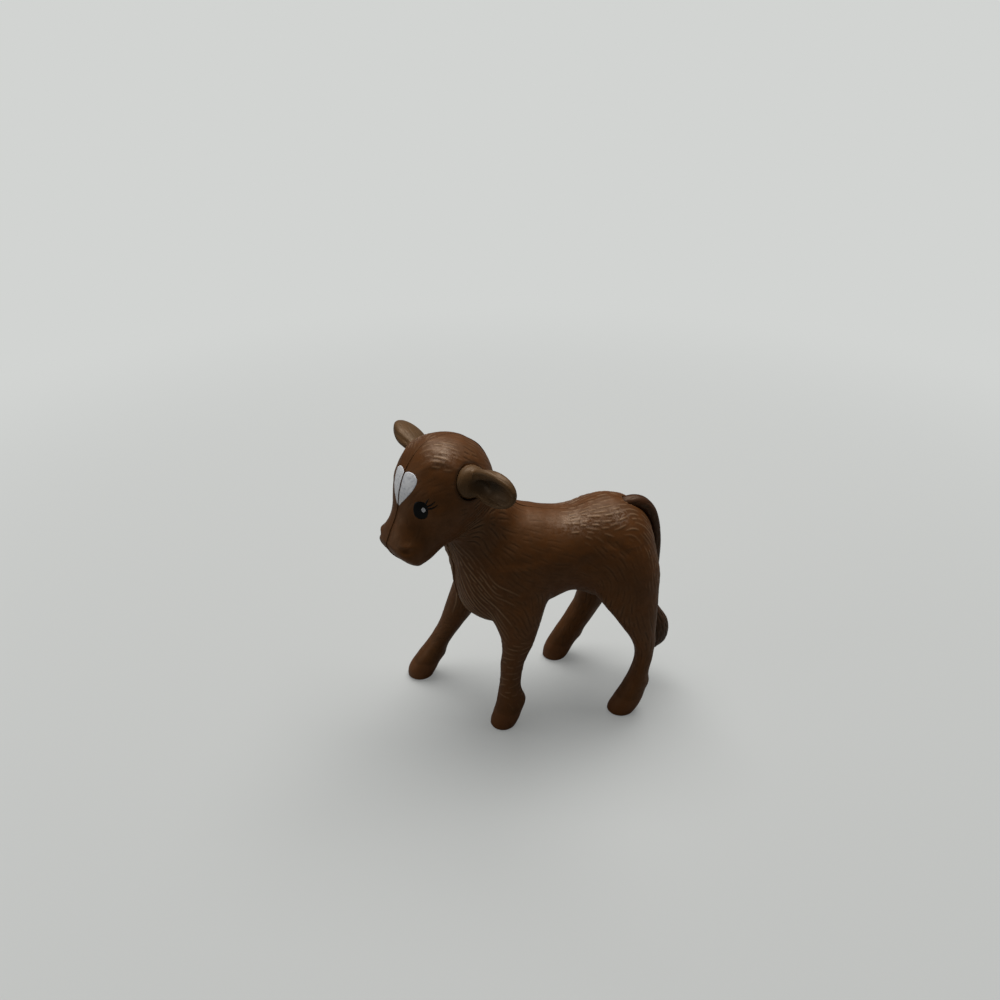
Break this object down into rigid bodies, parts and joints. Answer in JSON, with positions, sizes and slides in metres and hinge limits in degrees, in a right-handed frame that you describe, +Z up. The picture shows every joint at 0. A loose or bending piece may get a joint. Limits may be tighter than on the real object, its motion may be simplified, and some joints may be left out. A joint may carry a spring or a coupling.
{
  "type": "toy calf figure",
  "caption": "Hollow moulded calf figure, walking with its head turned to its left, with a long hanging tail and cupped ears that turn in round sockets in the head.",
  "frame": {"origin": "middle of the figure's outer box in plan, on the ground that its four soles stand on", "axes": "+Z up, -X the way that the body walks, -Y the calf's left side"},
  "size_m": [0.07, 0.0328, 0.0759],
  "materials": {
    "body_plastic": "brown hard plastic with a satin moulded skin and painted eyes, lashes and forehead mark",
    "ear_plastic": "greyer brown plastic with a satin moulded skin"
  },
  "bodies": {
    "figure": {"left_body_half": "body_plastic", "right_body_half": "body_plastic", "tail": "body_plastic"},
    "left_ear": {"left_ear": "ear_plastic"},
    "right_ear": {"right_ear": "ear_plastic"}
  },
  "joints": [
    {"name": "left_ear_turn", "type": "hinge", "parent": "figure", "child": "left_ear", "pos_m": [-0.01654, -0.00846, 0.0688], "axis": [0.4845, -0.8741, 0.0349], "range_deg": [-25, 25]},
    {"name": "right_ear_turn", "type": "hinge", "parent": "figure", "child": "right_ear", "pos_m": [-0.02478, 0.00641, 0.0688], "axis": [-0.4845, 0.8741, 0.0349], "range_deg": [-25, 25]}
  ]
}
